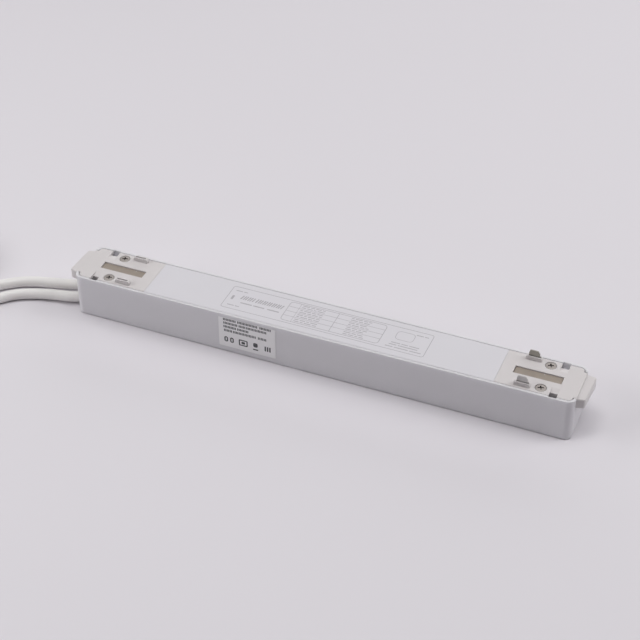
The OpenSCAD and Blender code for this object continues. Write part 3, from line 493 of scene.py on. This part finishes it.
def coilPoints(spec, coil):
    points = []
    steps = round(coil["turned"] / 360 * coil["pointsPerTurn"])
    for i in range(steps + 1):
        phi = coil["turned"] * i / steps
        part = min(1, max(0, (phi - coil["stepStart"]) / coil["stepLength"]))
        ease = part * part * (3 - 2 * part)
        radius = coil["outer"] + (coil["inner"] - coil["outer"]) * ease
        angle = math.radians(spec["coilStart"] - phi)
        x = coil["middle"][0] + radius * math.cos(angle)
        y = coil["middle"][1] + radius * math.sin(angle)
        points.append((x, y, spec["coilHeight"]))
    return points


def addCable(name, spec):
    points = spec["route"] + coilPoints(spec, coilSpec)
    curve = bpy.data.curves.new(name, "CURVE")
    curve.dimensions = "3D"
    curve.resolution_u = cableSpec["stepsAlong"]
    curve.bevel_depth = cableSpec["diameter"] / 2
    curve.bevel_resolution = cableSpec["stepsRound"]
    curve.use_fill_caps = True
    spline = curve.splines.new("BEZIER")
    spline.bezier_points.add(len(points) - 1)
    for knot, place in zip(spline.bezier_points, points):
        knot.co = place
        knot.handle_left_type = "AUTO"
        knot.handle_right_type = "AUTO"
    cable = bpy.data.objects.new(name, curve)
    bpy.context.scene.collection.objects.link(cable)
    curve.materials.append(finishes["cableSheath"])
    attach(cable, "root")
    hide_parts(*spec["stands"])


addCable("mainsLead", mainsSpec)
addCable("outputLead", outputSpec)


# Modelling helpers. A tool works on what is selected, as it does by hand.

def freshStart():
    if bpy.context.mode != "OBJECT":
        bpy.ops.object.mode_set(mode="OBJECT")
    bpy.ops.object.select_all(action="DESELECT")


def pickAlone(piece):
    freshStart()
    piece.select_set(True)
    bpy.context.view_layer.objects.active = piece


def applyPlace(piece):
    pickAlone(piece)
    bpy.ops.object.transform_apply(location=True, rotation=True, scale=True)


def applyModifier(piece, kind, **values):
    pickAlone(piece)
    modifier = piece.modifiers.new(kind.title(), kind)
    for key, value in values.items():
        setattr(modifier, key, value)
    bpy.ops.object.modifier_apply(modifier=modifier.name)


def joinPieces(name, pieces):
    freshStart()
    for piece in pieces:
        piece.select_set(True)
    bpy.context.view_layer.objects.active = pieces[0]
    bpy.ops.object.join()
    joined = bpy.context.object
    joined.name = name
    joined.data.name = name
    return joined


# Print. Outlines, rules and bars lie as a thin layer on the face that carries them.
# Places along the face that stand without mm are millimetres too.

layerSpec = {
    "depth": 0.04 * mm,
    "sunk": 0.25,  # share of the depth that lies below the face
    "outlineSteps": 5,
    "barSteps": 2,
    "barRounding": 0.3,
}


def addOutline(spec):
    freshStart()
    bpy.ops.mesh.primitive_plane_add(size=1, location=(*spec["middle"], 0))
    outline = bpy.context.object
    outline.scale = (spec["size"][0], spec["size"][1], 1)
    applyPlace(outline)
    bpy.ops.object.mode_set(mode="EDIT")
    bpy.ops.mesh.select_all(action="SELECT")
    bpy.ops.mesh.bevel(offset=spec["corner"], segments=layerSpec["outlineSteps"],
                       affect="VERTICES")
    bpy.ops.mesh.select_all(action="SELECT")
    bpy.ops.mesh.inset(thickness=spec["line"])
    bpy.ops.mesh.delete(type="FACE")
    bpy.ops.object.mode_set(mode="OBJECT")
    return outline


def addBar(middle, size, turn=0):
    freshStart()
    bpy.ops.mesh.primitive_plane_add(size=1, location=(*middle, 0), rotation=(0, 0, turn))
    bar = bpy.context.object
    bar.scale = (size[0], size[1], 1)
    applyPlace(bar)
    bpy.ops.object.mode_set(mode="EDIT")
    bpy.ops.mesh.select_all(action="SELECT")
    bpy.ops.mesh.bevel(offset=min(size) * layerSpec["barRounding"],
                       segments=layerSpec["barSteps"], affect="VERTICES")
    bpy.ops.object.mode_set(mode="OBJECT")
    return bar


def addWords(spans, y, height):
    return [addBar(((start + stop) / 2 * mm, y * mm), ((stop - start) * mm, height))
            for start, stop in spans]


def addStrokes(spans, y, spec):
    rows = []
    for start, stop in spans:
        row = addBar(((start + spec["width"] / 2) * mm, y * mm),
                     (spec["width"] * mm, spec["height"] * mm))
        count = round((stop - start - spec["width"]) / spec["pitch"]) + 1
        applyModifier(row, "ARRAY", count=count, use_relative_offset=False,
                      use_constant_offset=True,
                      constant_offset_displace=(spec["pitch"] * mm, 0, 0))
        rows.append(row)
    return rows


def finishPrint(name, parts, finish):
    printed = joinPieces(name, parts)
    applyModifier(printed, "SOLIDIFY", thickness=layerSpec["depth"], offset=1)
    setFinish(printed, finish)
    return printed


coverPrintSpec = {
    "frame": {"middle": (2.35 * mm, 0.25 * mm), "size": (128.3 * mm, 21.5 * mm),
              "corner": 1.6 * mm, "line": 0.36 * mm},
    "table": {"middle": (7.1 * mm, 0.5 * mm), "size": (61.8 * mm, 18.2 * mm),
              "corner": 2.2 * mm, "line": 0.36 * mm},
    "panel": {"middle": (50.8 * mm, 3.6 * mm), "size": (11.2 * mm, 8.0 * mm),
              "corner": 2.4 * mm, "line": 0.3 * mm},
    "rules": (5.0, 0.6, -3.8),
    "ruleWidth": 0.3 * mm,
    "divides": ((-16.9, 0.2), (7.3, 0.32)),
    "rowMiddles": (7.3, 2.8, -1.6, -6.2),
    "rowLines": (0.875, -0.875),
    "wordColumns": ((-15.6, 0.4), (15.6, 28.4)),
    "lineHeight": 0.6 * mm,
    "heading": {"words": ((-52.9, 3), (-43.2, 6)), "pitch": 2.95, "strokes": (0.3, 1.9),
                "y": 2.1, "size": (0.8 * mm, 3.9 * mm), "lean": -14},
    "subheading": {"words": ((-51.7, -44.2), (-43.3, -36.1), (-34.2, -26.6)), "y": -3.0,
                   "height": 0.85 * mm},
    "mark": {"middle": (-58.2 * mm, 0.2 * mm), "size": (1.5 * mm, 4.0 * mm)},
    "smallLines": ((-59.0, -51.2, 7.25), (-58.6, -50.6, -7.0), (56.4, 64.0, 7.5)),
    "lowerLines": (
        ((44.6, 50.2), (51.0, 55.0), (55.8, 61.8), -3.7),
        ((43.8, 48.6), (49.4, 61.4), -5.6),
        ((42.2, 47.0), (47.8, 56.4), (57.2, 64.2), -7.8),
    ),
}
wordSpec = {"widths": (2.6, 4.4, 1.8, 3.5), "gap": 0.7, "least": 1.2, "skip": 3}


def splitWords(start, stop, pick):
    spans = []
    widths = wordSpec["widths"]
    x = start
    while x < stop - wordSpec["least"]:
        wide = min(widths[pick % len(widths)], stop - x)
        spans.append((x, x + wide))
        x += wide + wordSpec["gap"]
        pick += wordSpec["skip"]
    return spans


def addHeading(spec):
    strokes = []
    for start, blocks in spec["words"]:
        for block in range(blocks):
            for stroke in spec["strokes"]:
                place = ((start + block * spec["pitch"] + stroke) * mm, spec["y"] * mm)
                strokes.append(addBar(place, spec["size"], math.radians(spec["lean"])))
    return strokes


def addCoverPrint(spec):
    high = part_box("top_cover")[1]
    table = spec["table"]
    parts = [addOutline(spec["frame"]), addOutline(table), addOutline(spec["panel"])]
    for y in spec["rules"]:
        parts.append(addBar((table["middle"][0], y * mm), (table["size"][0], spec["ruleWidth"])))
    for x, wide in spec["divides"]:
        parts.append(addBar((x * mm, table["middle"][1]), (wide * mm, table["size"][1])))
    for row, y in enumerate(spec["rowMiddles"]):
        for offset in spec["rowLines"]:
            for column, (start, stop) in enumerate(spec["wordColumns"]):
                spans = splitWords(start, stop, row + column + (offset > 0))
                parts += addWords(spans, y + offset, spec["lineHeight"])
    parts += addHeading(spec["heading"])
    line = spec["subheading"]
    parts += addWords(line["words"], line["y"], line["height"])
    parts.append(addBar(spec["mark"]["middle"], spec["mark"]["size"]))
    for start, stop, y in spec["smallLines"]:
        parts += addWords(splitWords(start, stop, 1), y, spec["lineHeight"])
    for *spans, y in spec["lowerLines"]:
        parts += addWords(spans, y, spec["lineHeight"])
    printed = finishPrint("coverPrint", parts, "coverInk")
    printed.location.z = high.z - layerSpec["depth"] * layerSpec["sunk"]
    applyPlace(printed)
    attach(printed, "root")


labelPrintSpec = {
    "lines": (
        ((-15.3, -7.0), (-6.0, 7.2), (8.4, 15.6), 9.6),
        ((-15.2, -6.2), (-5.2, -1.0), (-0.2, 13.0), 6.95),
        ((-15.2, -7.2), (-6.2, 0.8), 4.25),
        ((-15.0, -9.8), (-9.0, 6.0), (7.2, 12.6), 1.5),
    ),
    "lineStrokes": {"height": 1.75, "width": 0.62, "pitch": 0.94},
    "shapeRow": -5.2 * mm,
    "ovals": {"places": (-13.8, -10.0), "size": (2.4 * mm, 3.9 * mm), "corner": 1.1 * mm,
              "line": 0.82 * mm},
    "frame": {"place": -2.6, "size": (5.8 * mm, 4.6 * mm), "corner": 0.7 * mm,
              "line": 0.8 * mm, "filling": (2.4 * mm, 1.8 * mm)},
    "block": {"place": 5.4, "size": (2.9 * mm, 3.2 * mm), "above": 0.8 * mm,
              "foot": (3.4 * mm, 0.9 * mm), "footBelow": 2.6 * mm},
    "strokes": {"places": (11.8, 13.3, 14.8), "size": (0.95 * mm, 3.6 * mm)},
}


def addLabelPrint(spec):
    low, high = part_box("side_label")
    middle = (low + high) / 2
    rowY = spec["shapeRow"]
    parts = []
    for *spans, y in spec["lines"]:
        parts += addStrokes(spans, y, spec["lineStrokes"])
    for x in spec["ovals"]["places"]:
        parts.append(addOutline(dict(spec["ovals"], middle=(x * mm, rowY))))
    frameMiddle = (spec["frame"]["place"] * mm, rowY)
    parts.append(addOutline(dict(spec["frame"], middle=frameMiddle)))
    parts.append(addBar(frameMiddle, spec["frame"]["filling"]))
    block = spec["block"]
    blockX = block["place"] * mm
    parts.append(addBar((blockX, rowY + block["above"]), block["size"]))
    parts.append(addBar((blockX, rowY - block["footBelow"]), block["foot"]))
    for x in spec["strokes"]["places"]:
        parts.append(addBar((x * mm, rowY), spec["strokes"]["size"]))
    printed = finishPrint("labelPrint", parts, "labelInk")
    printed.rotation_euler = (math.radians(90), 0, 0)
    printed.location = (middle.x, low.y + layerSpec["depth"] * layerSpec["sunk"], middle.z)
    applyPlace(printed)
    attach(printed, "root")


addCoverPrint(coverPrintSpec)
addLabelPrint(labelPrintSpec)
print("print laid on")

# Pips: the bright bead on each magnet

pipSpec = {
    "magnetPips": (
        {"node": "right_magnet", "place": (135.1 * mm, 2.1 * mm)},
        {"node": "left_magnet", "place": (-124.2 * mm, 2.2 * mm)},
    ),
    "radius": 0.45 * mm,
    "height": 0.25 * mm,
    "sides": 24,
    "rounding": 0.45,
    "roundingSteps": 3,
}


def addPips(spec):
    pips = []
    for pip in spec["magnetPips"]:
        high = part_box(pip["node"])[1]
        freshStart()
        bpy.ops.mesh.primitive_cylinder_add(vertices=spec["sides"], radius=spec["radius"],
                                            depth=spec["height"],
                                            location=(*pip["place"], high.z))
        bead = bpy.context.object
        applyPlace(bead)
        applyModifier(bead, "BEVEL", width=spec["height"] * spec["rounding"],
                      segments=spec["roundingSteps"])
        pips.append(bead)
    joined = joinPieces("magnetPips", pips)
    setFinish(joined, "contactMetal")
    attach(joined, "root")


addPips(pipSpec)
print("pips added")

# Stage: a plain pale table under soft panels, with a nearly dark room round them

stageSpec = {
    "table": {"size": 8, "color": (0.745, 0.716, 0.755), "clouds": {"scale": 3, "detail": 2},
              "cloudTones": (0.99, 1.01), "rough": 0.75, "specular": 0.2},
    "panels": {
        "overhead": {"place": (0, 0, 2.0), "target": (0, 0, 0), "size": (1.4, 1.4),
                     "power": 13.5},
        "key": {"place": (-0.25, -0.3, 2.0), "target": (0, 0, 0), "size": (0.5, 0.5),
                "power": 3.7},
        "rightPanel": {"place": (1.32, 0.5, 1.2), "target": (0, 0, 0), "size": (1.0, 1.0),
                       "power": 13.8},
        "leftPanel": {"place": (-1.5, 0.2, 1.1), "target": (0, 0, 0), "size": (1.4, 1.2),
                      "power": 5.3},
        "leftFront": {"place": (-1.1, -0.7, 0.7), "target": (-0.1, 0, 0), "size": (0.8, 0.5),
                      "power": 6.9},
        "rearPanel": {"place": (0, 1.6, 0.5), "target": (0, 0, 0), "size": (2.4, 0.8),
                      "power": 9},
    },
    "room": {"color": (0.98, 0.98, 1.0), "strength": 0.004},
}


def addTable(spec):
    freshStart()
    bpy.ops.mesh.primitive_plane_add(size=spec["size"], location=(0, 0, 0))
    table = bpy.context.object
    table.name = "studioTable"
    material, tree, shader = newMaterial("tableSurface")
    clouds = noise(tree, objectCoordinates(tree), **spec["clouds"])
    color = mottle(tree, clouds, spec["color"], spec["cloudTones"])
    tree.links.new(color, shader.inputs["Base Color"])
    shader.inputs["Roughness"].default_value = spec["rough"]
    shader.inputs["Specular IOR Level"].default_value = spec["specular"]
    table.data.materials.append(material)


def addPanel(name, spec):
    bpy.ops.object.light_add(type="AREA", location=spec["place"])
    lamp = bpy.context.object
    lamp.name = name
    lamp.data.shape = "RECTANGLE"
    lamp.data.size, lamp.data.size_y = spec["size"]
    lamp.data.energy = spec["power"]
    towards = Vector(spec["target"]) - Vector(spec["place"])
    lamp.rotation_euler = towards.to_track_quat("-Z", "Y").to_euler()


def addRoom(spec):
    world = bpy.data.worlds.new("studioRoom")
    bpy.context.scene.world = world
    world.use_nodes = True
    background = world.node_tree.nodes["Background"]
    background.inputs["Color"].default_value = (*spec["color"], 1)
    background.inputs["Strength"].default_value = spec["strength"]


addTable(stageSpec["table"])
for name, panel in stageSpec["panels"].items():
    addPanel(name, panel)
addRoom(stageSpec["room"])
bpy.context.scene.view_settings.view_transform = "Standard"
print("stage ready")
